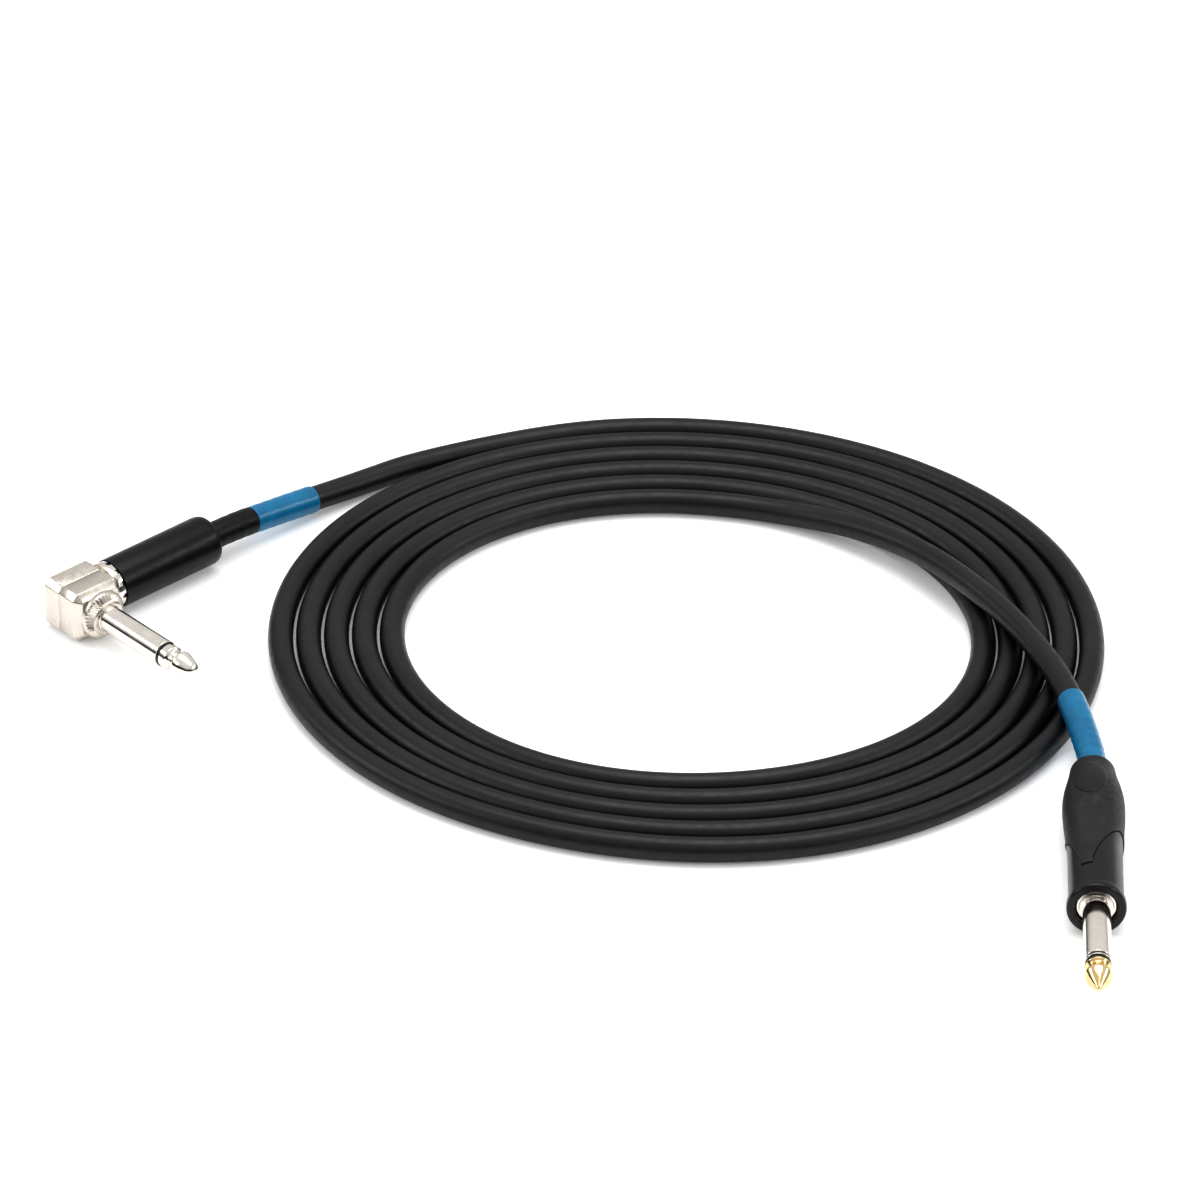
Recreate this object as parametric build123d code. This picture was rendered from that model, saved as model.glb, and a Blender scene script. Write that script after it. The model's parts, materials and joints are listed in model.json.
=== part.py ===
"""Instrument cable: a mono lead with a straight 6.35 mm plug at one end and a right-angle one at the other.

Frame, in millimetres: +Z is up from the surface the lead lies on, at z = 0. The straight plug points along
-Y. The origin is on that surface, midway between the two plugs. Every plug piece is turned about its own
axis, at stations measured along that axis: from the shell's rim on the straight plug, and from the point
where its two axes cross on the right-angle one.
"""

import os
from math import cos, pi, radians, sin, tan

from build123d import *

# ---- cable ----
CABLE_D = 5.8          # outer jacket
DIELECTRIC_D = 2.6     # inner insulation round the conductor
CONDUCTOR_D = 1.0
SHIELD_TAIL_D = 1.2    # screen strands twisted into a tail
SHIELD_TAIL_L = 6.0
SHRINK_WALL = 0.35     # heat-shrink sleeve and printed labels

# ---- finger that both plugs share, a standard 6.35 mm two-pole plug ----
FINGER_D = 6.35
FINGER_L = 30.5        # from the seat to the point
SLEEVE_L = 20.0        # metal sleeve, from the seat to the insulator
ROD_D = 2.4            # rod that joins the tip to its lug
NECK_D = 4.6           # waist of the tip
STRAIGHT_TIP_COLLAR_L = 0.4
ANGLE_TIP_COLLAR_L = 2.1
BORE_D = 3.8           # bore of the sleeve, filled by the insulating tube
INSULATOR_D = 6.0
REAR_INSULATOR_L = 0.7
SPACER_L = 0.4
FRONT_INSULATOR_L = 0.8
REAR_WASHER_T = 1.1    # insulating washer under the lug
LUG_T = 0.7
LUG_D = 5.2
RIVET_D = 3.6
RIVET_T = 0.7

# ---- fits ----
THREAD_GAP = 0.05      # running clearance between a shell and its thread
CORD_GAP = 0.3         # between what slides and the sleeve or label on the cable
UNSCREW = 4.0          # how far each shell backs off its thread
STRIP_T = 0.6          # solder strips and cable clamps
STRIP_W = 2.0
CLAMP_WALL = 0.5
CLAMP_L = 4.0

# ---- straight plug ----
STRAIGHT_X, STRAIGHT_Y, STRAIGHT_Z = 116.9, -61.4, 7.0     # centre of the shell's rim
SHELL_L = 55.0         # shell and boot together
RIM_D = 13.4
SHELL_D = 12.4
BELLY_D = 14.0
BOOT_END_D = 10.2
RECESS = 1.2           # the flange sits this far inside the rim
THREAD_D = 9.1
THREAD_L = 7.0
BOSS_D = 7.8           # stepped boss at the root of the finger
BOSS_BEHIND = 0.3      # the boss stops this far inside the rim
SPIGOT_D = 6.0
SPIGOT_L = 3.8
LINER_D = 10.0
LINER_WALL = 0.6
BARE_WIRE_L = 7.5      # conductor between its insulation and the rivet
CORE_L = 9.0           # inner insulation left on past the jacket
CHUCK_D = 8.4
CHUCK_L = 9.0
TONGUE_FRONT = 10.0    # the boot's tongues reach forward to here
ARCH_BACK = 26.3       # the shell's side arches reach back this far
ARCH_W = 12.1
SADDLE_ROLL = 20.0     # degrees that the shell is turned from its tongues straight up and down
BELLY_AHEAD = 15.5     # the boot's fullest part, ahead of its cable end
BOOT_MOUTH_L = 5.0
EMBLEM_W, EMBLEM_L, EMBLEM_T = 8.2, 14.0, 0.3
EMBLEM_AHEAD = 11.5

# ---- right-angle plug ----
ANGLE_X, ANGLE_Y, ANGLE_Z = -116.4, 60.0, 6.5              # where its two axes cross
BARREL_AIM = 43.5      # degrees from +X to the barrel's axis; the finger is a right angle clockwise of it
HEAD_END = 6.8         # axis crossing to the head's blank end
HEAD_BARREL_SIDE = 7.2
HEAD_BACK = 5.6
HEAD_FRONT = 7.6
HEAD_SEAM = 1.0        # where the rear cover meets the head
HEAD_H = 13.0
HEAD_WALL = 1.2
HEAD_CHAMFER = 1.6
COLLAR_D = 11.8
COLLAR_NOSE_D = 8.0
COLLAR_L = 3.4
COLLAR_BAND = 1.8
SHANK_D = 7.2
FLANGE_D = 9.2
FLANGE_T = 1.2
BARREL_THREAD_D = 10.0
BARREL_THREAD_BORE_D = 7.2
BARREL_THREAD_L = 6.8
RING_D = 11.8
RING_L = 2.3
RING_GAP = 0.2
RING_NOTCHES = 12
RING_NOTCH_W, RING_NOTCH_L = 1.1, 1.1
BARREL_D = 12.0
BARREL_L = 29.25
BARREL_END_WALL = 1.5
ANGLE_LINER_WALL = 0.75
ANGLE_JACKET_STOP = 20.0
ANGLE_CORE_STOP = 8.0
LUG_TAB_END = 5.6
SLEEVE_IN_BARREL = 7.0

# ---- cable on the surface ----
COIL_X, COIL_Y = 22.8, 53.1
COIL_R = 93.9          # mean radius of the first turn
COIL_OVAL, COIL_SKEW = 3.6, -1.4
COIL_PITCH = 6.34      # each turn lies this much inside the one before
COIL_TURNS = 5
COIL_START = 124.4     # degrees, where the first turn begins; the turns run clockwise
LEFT_LABEL_FROM, LEFT_LABEL_L = 13.5, 18.5
RIGHT_LABEL_L = 27.0

# Loose cable from the right-angle plug to the coil, past its straight first run.
OUT_OF_BARREL = 12.0
LEAD_IN = [
    (-66.0, 107.4, 4.3), (-54.0, 117.0, 3.1), (-40.8, 126.8, 2.9), (-25.8, 134.9, 2.9), (-10.5, 139.8, 2.9),
]
# Loose cable from the coil's inner turn over the turns outside it, down to the straight run into the boot.
LEAD_OUT = [
    (45.5, 107.0, 2.9), (59.8, 99.7, 4.6), (72.2, 90.2, 6.6), (82.2, 79.0, 8.2), (90.8, 66.6, 9.0),
    (98.6, 54.6, 9.0), (104.9, 41.8, 9.0), (110.1, 29.0, 9.3), (113.6, 16.6, 9.0),
]
INTO_BOOT = 10.5


def lathe(outline):
    """Solid turned about Z from (radius, station) points, in order round the section."""
    return revolve(make_face(Polyline(*[(r, 0, s) for r, s in outline], close=True)), axis=Axis.Z)


def ring(inner_d, outer_d, start, end):
    """Plain round ring or, with no bore, a round bar."""
    return lathe([(inner_d / 2, start), (outer_d / 2, start), (outer_d / 2, end), (inner_d / 2, end)])


def block(x, y, z):
    """Box between (low, high) pairs along each axis."""
    size = [high - low for low, high in (x, y, z)]
    middle = [(high + low) / 2 for low, high in (x, y, z)]
    return Pos(*middle) * Box(*size)


def bar(start, end, diameter):
    """Round bar between two points."""
    start, end = Vector(*start), Vector(*end)
    length = (end - start).length
    upright = (Align.CENTER, Align.CENTER, Align.MIN)
    return Plane(origin=start, z_dir=end - start) * Cylinder(diameter / 2, length, align=upright)


def tube(path, outer_d, inner_d=0):
    """Round tube along a path of runs and arcs."""
    start = Plane(origin=path @ 0, z_dir=path % 0)
    solid = sweep(start * Circle(outer_d / 2), path=path)
    return solid - sweep(start * Circle(inner_d / 2), path=path) if inner_d else solid


def cable_path(name, points):
    """Runs joined by tangent arcs as large as 0.45 of the shorter run allows, with their radii printed."""
    points = [Vector(point) for point in points]
    radii = []
    for before, here, after in zip(points, points[1:], points[2:]):
        half_turn = radians((here - before).get_angle(after - here)) / 2
        radii.append(0.45 * min((here - before).length, (after - here).length) / tan(half_turn))
    print(name, "radii", [round(radius) for radius in radii])
    return FilletPolyline(*points, radius=radii)


def coil_radius(angle, turns):
    """Radius of the cable's centre line in the coil: a skewed oval that tightens by one pitch a turn."""
    a = radians(angle)
    return COIL_R + COIL_OVAL * cos(2 * a) + COIL_SKEW * sin(2 * a) - COIL_PITCH * turns


# ---- the two-pole finger ----
def finger_insulator(seat, rear):
    """Insulating tube inside the sleeve with its head, the black ring at the end of the sleeve."""
    head = seat + SLEEVE_L
    return lathe([
        (ROD_D / 2, rear), (BORE_D / 2, rear), (BORE_D / 2, head), (INSULATOR_D / 2, head),
        (INSULATOR_D / 2, head + REAR_INSULATOR_L), (ROD_D / 2, head + REAR_INSULATOR_L),
    ])


def tip_contact(seat, rear, base, collar_l):
    """Tip with its collar, neck and bulb, and the rod behind it, riveted over its lug at the rear."""
    point = seat + FINGER_L
    neck = base + collar_l
    bulb_r = FINGER_D / 2 - 0.03
    return lathe([
        (0, rear - LUG_T - RIVET_T), (RIVET_D / 2, rear - LUG_T - RIVET_T), (RIVET_D / 2, rear - LUG_T),
        (ROD_D / 2, rear - LUG_T), (ROD_D / 2, base), (bulb_r - 0.25, base), (bulb_r - 0.25, neck),
        (NECK_D / 2, neck + 0.5), (NECK_D / 2, neck + 1.2), (bulb_r - 0.2, neck + 2.4),
        (bulb_r, neck + 3.2), (bulb_r - 0.4, neck + 4.2), (0.95, point - 0.6), (0.45, point - 0.12),
        (0, point),
    ])


# ---- straight plug, at stations from the rim, positive towards the tip ----
def straight_pieces():
    flange_back = -RECESS - THREAD_L
    spigot_back = flange_back - SPIGOT_L
    washer_back = spigot_back - REAR_WASHER_T
    core_end = washer_back - LUG_T - RIVET_T - BARE_WIRE_L
    jacket_end = core_end - CORE_L
    clamp_back = jacket_end - 2.0 - CLAMP_L
    cavity_back = BOOT_MOUTH_L - SHELL_L
    chuck_back = cavity_back + 2.0
    liner_front = flange_back - 0.8
    liner_back = chuck_back + CHUCK_L + 1.0
    belly = BELLY_AHEAD - SHELL_L
    bore_d = THREAD_D + 2 * THREAD_GAP
    liner_bore_d = LINER_D + 2 * THREAD_GAP
    label_d = CABLE_D + 2 * SHRINK_WALL
    mouth_d = label_d + 2 * CORD_GAP

    def outside(grow):
        """Outer outline of shell and boot, from the rim back to the cable, grown by a skin."""
        r = [d / 2 + grow for d in (RIM_D, SHELL_D, BELLY_D, BOOT_END_D)]
        return [
            (r[0] - 0.9, 0), (r[0] - 0.2, -0.3), (r[0], -0.9), (r[0], -2.0), (r[1], -3.0),
            (r[1], belly + 19.5), (r[1] + 0.2, belly + 14.5), (r[2] - 0.3, belly + 9.5), (r[2], belly + 3),
            (r[2], belly - 1),
            (r[2] - 0.3, belly - 4), (r[2] - 0.95, belly - 7.5), (r[3] + 0.45, belly - 12),
            (r[3], 1.3 - SHELL_L), (r[3] - 0.8, 0.3 - SHELL_L), (r[3] - 1.4, -SHELL_L),
        ]

    bore = [
        (mouth_d / 2 + 0.25, -SHELL_L), (mouth_d / 2 + 0.25, 2 - SHELL_L), (mouth_d / 2, 2 - SHELL_L),
        (mouth_d / 2, cavity_back), (CHUCK_D / 2 + 0.4, cavity_back), (CHUCK_D / 2 + 0.4, liner_back - 0.5),
        (liner_bore_d / 2, liner_back - 0.5), (liner_bore_d / 2, liner_front), (bore_d / 2, liner_front),
        (bore_d / 2, 0),
    ]
    housing = lathe(outside(0) + bore)

    # Seen from the side, the joint between shell and boot is a half oval, so the shell has an arch on each
    # side and the boot a tongue above and below.
    across = Plane(origin=(-BELLY_D, 0, -TONGUE_FRONT), x_dir=(0, 1, 0), z_dir=(1, 0, 0))
    arch = extrude(across * Ellipse(ARCH_W / 2, ARCH_BACK - TONGUE_FRONT), amount=2 * BELLY_D)
    ahead = block((-BELLY_D, BELLY_D), (-BELLY_D, BELLY_D), (-TONGUE_FRONT, 1))
    shell_side = Rot(0, 0, SADDLE_ROLL) * (arch + ahead)

    band = lathe(outside(EMBLEM_T)[1:-1] + [(1, 1.3 - SHELL_L), (1, -0.3)]) - lathe(
        outside(0) + [(0, -SHELL_L), (0, 0)]
    )
    window = Plane(origin=(0, 0, EMBLEM_AHEAD - SHELL_L), x_dir=(1, 0, 0), z_dir=(0, 1, 0)) * Ellipse(
        EMBLEM_W / 2, EMBLEM_L / 2
    )
    sleeve = lathe([
        (BORE_D / 2, spigot_back), (SPIGOT_D / 2, spigot_back), (SPIGOT_D / 2, flange_back),
        (THREAD_D / 2, flange_back), (THREAD_D / 2, -RECESS), (BOSS_D / 2, -RECESS), (BOSS_D / 2, -BOSS_BEHIND),
        (FINGER_D / 2, -BOSS_BEHIND), (FINGER_D / 2, SLEEVE_L), (BORE_D / 2, SLEEVE_L),
    ])
    lug_ring = ring(SPIGOT_D, SPIGOT_D + 1.8, flange_back - STRIP_T, flange_back)
    clamp_d = CABLE_D + 2 * CLAMP_WALL
    strip = block(
        (-STRIP_W / 2, STRIP_W / 2), (-clamp_d / 2 - 0.4, 0.2 - clamp_d / 2), (clamp_back, flange_back)
    )
    clamp = ring(CABLE_D, clamp_d, clamp_back, clamp_back + CLAMP_L)
    tab = block((-0.9, 0.9), (LUG_D / 2 - 0.4, LUG_D / 2 + 0.1), (washer_back - 6.0, washer_back))
    tip_base = SLEEVE_L + REAR_INSULATOR_L + SPACER_L + FRONT_INSULATOR_L
    front_start = tip_base - FRONT_INSULATOR_L
    wire_y = LUG_D / 2 - 0.4 - CONDUCTOR_D / 2
    strip_top = 0.2 - clamp_d / 2
    jacket = ring(0, CABLE_D, -SHELL_L, jacket_end)
    core = ring(0, DIELECTRIC_D, jacket_end, core_end)
    conductor = bar((0, 0, core_end - 0.5), (0, wire_y, washer_back - 4.5), CONDUCTOR_D)
    tail = bar(
        (0, -DIELECTRIC_D / 2 - SHIELD_TAIL_D / 2 - 0.1, jacket_end - 0.5),
        (0, strip_top + SHIELD_TAIL_D / 2 + 0.05, jacket_end + SHIELD_TAIL_L),
        SHIELD_TAIL_D,
    )
    return {
        "straight_finger_sleeve": sleeve,
        "straight_finger_insulator": finger_insulator(0, washer_back),
        "straight_finger_spacer": ring(ROD_D, FINGER_D, front_start - SPACER_L, front_start),
        "straight_tip_insulator": ring(ROD_D, INSULATOR_D - 0.2, front_start, tip_base),
        "straight_tip_contact": tip_contact(0, washer_back, tip_base, STRAIGHT_TIP_COLLAR_L),
        "straight_rear_washer": ring(BORE_D, SPIGOT_D + 0.2, washer_back, spigot_back),
        "straight_tip_lug": ring(ROD_D, LUG_D, washer_back - LUG_T, washer_back) + tab,
        "straight_ground_lug": lug_ring + strip + clamp - jacket,
        "straight_chuck": ring(CABLE_D, CHUCK_D, chuck_back, chuck_back + CHUCK_L),
        "straight_cable_end": jacket,
        "straight_inner_core": core,
        "straight_conductor": conductor - core,
        "straight_shield_tail": tail - jacket,
        "straight_liner": ring(LINER_D - 2 * LINER_WALL, LINER_D, liner_back, liner_front),
        "straight_shell": housing & shell_side,
        "straight_boot": housing - shell_side,
        "straight_emblem": band & extrude(window, amount=BELLY_D),
    }


# ---- right-angle plug: finger pieces at stations along the finger, barrel pieces along the barrel ----
def angle_finger_pieces():
    seat = HEAD_FRONT + COLLAR_L
    inside = HEAD_FRONT - HEAD_WALL
    flange_back = inside - FLANGE_T
    washer_back = flange_back - REAR_WASHER_T

    def head_box(end, side, height, back, front):
        return block((-end, side), (-height / 2, height / 2), (-back, front))

    outer = head_box(HEAD_END, HEAD_BARREL_SIDE, HEAD_H, HEAD_BACK, HEAD_FRONT)
    outer = chamfer(outer.edges(), HEAD_CHAMFER)
    wall = HEAD_WALL
    hollow = head_box(HEAD_END - wall, HEAD_BARREL_SIDE - wall, HEAD_H - 2 * wall, HEAD_BACK - wall, inside)
    shell = outer - hollow
    rear_half = block(
        (-HEAD_END, HEAD_BARREL_SIDE - wall), (-HEAD_H / 2, HEAD_H / 2), (-HEAD_BACK, HEAD_SEAM)
    )
    along_barrel = Plane(origin=(0, 0, 0), x_dir=(0, 0, -1), z_dir=(1, 0, 0))
    neck_start = HEAD_BARREL_SIDE - wall
    neck_end = HEAD_BARREL_SIDE + BARREL_THREAD_L
    neck = along_barrel * ring(BARREL_THREAD_BORE_D, BARREL_THREAD_D, neck_start, neck_end)
    neck_bore = along_barrel * ring(0, BARREL_THREAD_BORE_D, neck_start, neck_end)
    finger_hole = ring(0, SHANK_D, inside, HEAD_FRONT)
    nose_r = COLLAR_NOSE_D / 2
    tip_base = seat + SLEEVE_L + REAR_INSULATOR_L
    collar = lathe([
        (SHANK_D / 2, HEAD_FRONT), (COLLAR_D / 2 - 0.3, HEAD_FRONT), (COLLAR_D / 2, HEAD_FRONT + 0.3),
        (COLLAR_D / 2, HEAD_FRONT + COLLAR_BAND), (nose_r + 0.3, seat - 0.2), (nose_r, seat),
        (SHANK_D / 2, seat),
    ])
    sleeve = lathe([
        (BORE_D / 2, flange_back), (FLANGE_D / 2, flange_back), (FLANGE_D / 2, inside),
        (SHANK_D / 2, inside), (SHANK_D / 2, seat), (FINGER_D / 2, seat), (FINGER_D / 2, seat + SLEEVE_L),
        (BORE_D / 2, seat + SLEEVE_L),
    ])
    tab = block((LUG_D / 2 - 0.5, LUG_TAB_END), (-0.9, 0.9), (washer_back - LUG_T, washer_back - 0.2))
    return {
        "angle_head": (shell - rear_half - neck_bore - finger_hole) + neck,
        "angle_rear_cover": shell & rear_half,
        "angle_collar": collar,
        "angle_finger_sleeve": sleeve,
        "angle_finger_insulator": finger_insulator(seat, washer_back),
        "angle_tip_contact": tip_contact(seat, washer_back, tip_base, ANGLE_TIP_COLLAR_L),
        "angle_rear_washer": ring(BORE_D, FLANGE_D - 0.8, washer_back, flange_back),
        "angle_tip_lug": ring(ROD_D, LUG_D, washer_back - LUG_T, washer_back) + tab,
    }


def angle_barrel_pieces():
    neck_end = HEAD_BARREL_SIDE + BARREL_THREAD_L
    barrel_start = HEAD_BARREL_SIDE + RING_L + RING_GAP
    barrel_end = barrel_start + BARREL_L
    bore_d = BARREL_THREAD_D + 2 * THREAD_GAP
    liner_bore_d = BARREL_THREAD_D + 0.4
    liner_start = neck_end + 0.8
    liner_d = liner_bore_d - 2 * THREAD_GAP
    sleeve_d = CABLE_D + 2 * SHRINK_WALL
    exit_d = sleeve_d + 2 * CORD_GAP
    wall_start = barrel_end - BARREL_END_WALL
    r = BARREL_D / 2
    barrel = lathe([
        (bore_d / 2, barrel_start), (r - 0.4, barrel_start), (r, barrel_start + 0.4), (r, barrel_end - 1.6),
        (r - 0.2, barrel_end - 0.8), (r - 0.8, barrel_end - 0.2), (r - 1.6, barrel_end),
        (exit_d / 2, barrel_end), (exit_d / 2, wall_start), (liner_bore_d / 2, wall_start),
        (liner_bore_d / 2, neck_end + 0.5), (bore_d / 2, neck_end + 0.5),
    ])
    lock_ring = ring(BARREL_THREAD_D, RING_D, HEAD_BARREL_SIDE, barrel_start - RING_GAP)
    notch = block(
        (-RING_NOTCH_W / 2, RING_NOTCH_W / 2),
        (BARREL_THREAD_D / 2 + 0.3, RING_D),
        (barrel_start - RING_NOTCH_L, barrel_start),
    )
    for step in range(RING_NOTCHES):
        lock_ring -= Rot(0, 0, step * 360 / RING_NOTCHES) * notch
    clamp_d = CABLE_D + 2 * CLAMP_WALL
    clamp_start = ANGLE_JACKET_STOP + 2.0
    strip = block(
        (-STRIP_W / 2, STRIP_W / 2),
        (-clamp_d / 2 - 0.05, STRIP_T - clamp_d / 2 - 0.05),
        (neck_end - 5.0, clamp_start + CLAMP_L),
    )
    fixing = ring(BARREL_THREAD_BORE_D - 1.0, BARREL_THREAD_BORE_D, neck_end - 5.0, neck_end - 3.5)
    clamp = ring(CABLE_D, clamp_d, clamp_start, clamp_start + CLAMP_L)
    jacket = ring(0, CABLE_D, ANGLE_JACKET_STOP, barrel_end)
    core = ring(0, DIELECTRIC_D, ANGLE_CORE_STOP, ANGLE_JACKET_STOP)
    # The barrel's own x axis points away from the finger, so the lug is on its negative side.
    lug_face = HEAD_FRONT - HEAD_WALL - FLANGE_T - REAR_WASHER_T - LUG_T
    wire_end = (-(lug_face - CONDUCTOR_D / 2), 0, LUG_TAB_END - 1.0)
    conductor = bar((0, 0, ANGLE_CORE_STOP + 0.5), wire_end, CONDUCTOR_D)
    strip_top = STRIP_T - clamp_d / 2 - 0.05
    tail = bar(
        (0, -DIELECTRIC_D / 2 - SHIELD_TAIL_D / 2 - 0.1, ANGLE_JACKET_STOP + 0.5),
        (0, strip_top + SHIELD_TAIL_D / 2 + 0.05, ANGLE_JACKET_STOP - SHIELD_TAIL_L),
        SHIELD_TAIL_D,
    )
    return {
        "angle_lock_ring": lock_ring,
        "angle_barrel": barrel,
        "angle_liner": ring(liner_d - 2 * ANGLE_LINER_WALL, liner_d, liner_start, wall_start - 0.25),
        "angle_ground_clamp": fixing + strip + clamp - jacket,
        "angle_cable_end": jacket,
        "angle_inner_core": core,
        "angle_conductor": conductor - core,
        "angle_shield_tail": tail - jacket,
        "sleeve_in_barrel": ring(CABLE_D, sleeve_d, barrel_end - SLEEVE_IN_BARREL, barrel_end),
    }


# ---- coil of cable on the surface ----
def coil_outline(turns, offset):
    """Closed smooth outline of the coil at one turn, offset outwards by half the cable."""
    points = []
    for angle in range(0, 360, 20):
        r = coil_radius(angle, turns) + offset
        points.append((COIL_X + r * cos(radians(angle)), COIL_Y + r * sin(radians(angle))))
    return make_face(Spline(*points, periodic=True))


def coil_solid():
    """One flat ring of the outer shape of all the turns lying side by side."""
    outside = coil_outline(0.5, CABLE_D / 2)
    inside = coil_outline(COIL_TURNS - 0.5, -CABLE_D / 2)
    flat = extrude(outside - inside, amount=CABLE_D)
    return chamfer(flat.edges().filter_by(GeomType.BSPLINE), CABLE_D / 4)


def main():
    os.makedirs("parts", exist_ok=True)
    aim = radians(BARREL_AIM)
    along_barrel = Vector(cos(aim), sin(aim), 0)
    along_finger = Vector(sin(aim), -cos(aim), 0)
    crossing = Vector(ANGLE_X, ANGLE_Y, ANGLE_Z)
    straight = Plane(origin=(STRAIGHT_X, STRAIGHT_Y, STRAIGHT_Z), x_dir=(1, 0, 0), z_dir=(0, -1, 0))
    finger = Plane(origin=crossing, x_dir=along_barrel, z_dir=along_finger)
    barrel = Plane(origin=crossing, x_dir=-along_finger, z_dir=along_barrel)

    nodes = {name: straight * piece for name, piece in straight_pieces().items()}
    nodes.update({name: finger * piece for name, piece in angle_finger_pieces().items()})
    nodes.update({name: barrel * piece for name, piece in angle_barrel_pieces().items()})

    leave = crossing + along_barrel * (HEAD_BARREL_SIDE + RING_L + RING_GAP + BARREL_L)
    enter = Vector(STRAIGHT_X, STRAIGHT_Y + SHELL_L, STRAIGHT_Z)
    lead_in = cable_path("lead in", [leave, leave + along_barrel * OUT_OF_BARREL] + LEAD_IN)
    lead_out = cable_path("lead out", LEAD_OUT + [enter + Vector(0, INTO_BOOT, 0), enter])
    wrap_d = CABLE_D + 2 * SHRINK_WALL
    covered = lead_in.trim(0, LEFT_LABEL_FROM / lead_in.length)
    labelled = lead_in.trim(
        LEFT_LABEL_FROM / lead_in.length, (LEFT_LABEL_FROM + LEFT_LABEL_L) / lead_in.length
    )
    at_boot = lead_out.trim(1 - RIGHT_LABEL_L / lead_out.length, 1)
    nodes["cable_to_angle_plug"] = tube(lead_in, CABLE_D)
    nodes["cable_to_straight_plug"] = tube(lead_out, CABLE_D)
    nodes["cable_coil"] = coil_solid()
    nodes["heat_shrink_sleeve"] = tube(covered, wrap_d, CABLE_D) + nodes.pop("sleeve_in_barrel")
    nodes["angle_end_label"] = tube(labelled, wrap_d, CABLE_D)
    nodes["straight_end_label"] = tube(at_boot, wrap_d, CABLE_D)

    for name, path in (("cable_to_angle_plug", lead_in), ("cable_to_straight_plug", lead_out)):
        section = pi * (CABLE_D / 2) ** 2
        print(name, "length", round(path.length, 1), "volume", round(nodes[name].volume))
        print("    section times length", round(section * path.length))
    for name, solid in nodes.items():
        export_step(solid, f"parts/{name}.step")


main()
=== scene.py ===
import json

import bpy
import numpy as np
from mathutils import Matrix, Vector


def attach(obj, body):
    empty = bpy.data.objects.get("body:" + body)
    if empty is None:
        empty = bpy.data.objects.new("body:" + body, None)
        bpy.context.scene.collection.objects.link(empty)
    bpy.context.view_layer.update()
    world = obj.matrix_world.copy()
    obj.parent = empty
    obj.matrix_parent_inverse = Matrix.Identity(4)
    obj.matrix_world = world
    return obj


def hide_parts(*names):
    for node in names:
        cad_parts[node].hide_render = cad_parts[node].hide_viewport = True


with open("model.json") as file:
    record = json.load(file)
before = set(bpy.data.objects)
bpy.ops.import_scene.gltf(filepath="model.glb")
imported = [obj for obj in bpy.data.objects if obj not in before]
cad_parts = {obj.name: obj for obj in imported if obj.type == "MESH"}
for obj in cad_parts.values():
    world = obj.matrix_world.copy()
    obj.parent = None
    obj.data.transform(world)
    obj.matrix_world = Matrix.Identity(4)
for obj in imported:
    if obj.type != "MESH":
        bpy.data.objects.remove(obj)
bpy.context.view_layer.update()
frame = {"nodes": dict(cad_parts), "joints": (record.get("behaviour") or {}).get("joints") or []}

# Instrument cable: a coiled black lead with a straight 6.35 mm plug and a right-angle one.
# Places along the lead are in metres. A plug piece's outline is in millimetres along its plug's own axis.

# ---- Camera, floor and light ----
# The lead lies on white paper, under a wide softbox and between two long strips. The studio is dark near the
# horizon, most of all in front, which draws dark streaks on the bright metal. The paper glows a little, as on
# a light table, so the shadows stay faint.
camera = bpy.data.objects.new("camera", bpy.data.cameras.new("camera"))
camera.data.lens = 309.6
camera.data.sensor_width = 36.0
camera.data.clip_end = 50.0
camera.location = (0.0517, -1.9396, 1.3071)
looks_along = Vector((0.0039, 0.07265, 0.0)) - camera.location
camera.rotation_euler = looks_along.to_track_quat("-Z", "Y").to_euler()
bpy.context.scene.collection.objects.link(camera)
bpy.context.scene.camera = camera
bpy.context.scene.view_settings.view_transform = "Standard"
bpy.context.scene.view_settings.look = "High Contrast"


def fill(tree, node, **inputs):
    """Sets or links a node's inputs, each a value or another node's output. A _ in a name is a space."""
    for name, value in inputs.items():
        socket = node.inputs[name.replace("_", " ")]
        if isinstance(value, bpy.types.NodeSocket):
            tree.links.new(value, socket)
        else:
            socket.default_value = value
    return node


def add(tree, kind, **inputs):
    """New shader node of that kind with its inputs filled."""
    return fill(tree, tree.nodes.new("ShaderNode" + kind), **inputs)


def material(name):
    """New material; returns it, its node tree, its Principled shader and its Texture Coordinate node."""
    made = bpy.data.materials.new(name)
    made.use_nodes = True
    nodes = made.node_tree.nodes
    return made, made.node_tree, nodes["Principled BSDF"], add(made.node_tree, "TexCoord")


def noise(tree, where, scale, low=0.0, high=1.0, stretch=(1.0, 1.0, 1.0), on="Object"):
    """Smooth noise from low to high, on Object or UV coordinates.

    Its scale is in cells a metre, times the stretch along each axis.
    """
    spread = add(tree, "Mapping", Vector=where.outputs[on], Scale=stretch).outputs["Vector"]
    grain = add(tree, "TexNoise", Vector=spread, Scale=scale, Detail=3.0).outputs["Fac"]
    ranged = add(tree, "MapRange", Value=grain, From_Min=0.32, From_Max=0.68, To_Min=low, To_Max=high)
    return ranged.outputs["Result"]


def ramp(tree, value, *stops):
    """Colour that goes through (position, colour) stops as the value goes from 0 to 1."""
    made = add(tree, "ValToRGB", Fac=value)
    elements = made.color_ramp.elements
    while len(elements) < len(stops):
        elements.new(1.0)
    for element, (position, colour) in zip(elements, stops):
        element.position = position
        element.color = (*colour, 1.0)
    return made.outputs["Color"]


def bump(tree, height, depth, **over):
    """Normal over a height map from 0 to 1 that is that many metres deep, over another bump's Normal."""
    return add(tree, "Bump", Height=height, Distance=depth, **over).outputs["Normal"]


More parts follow.
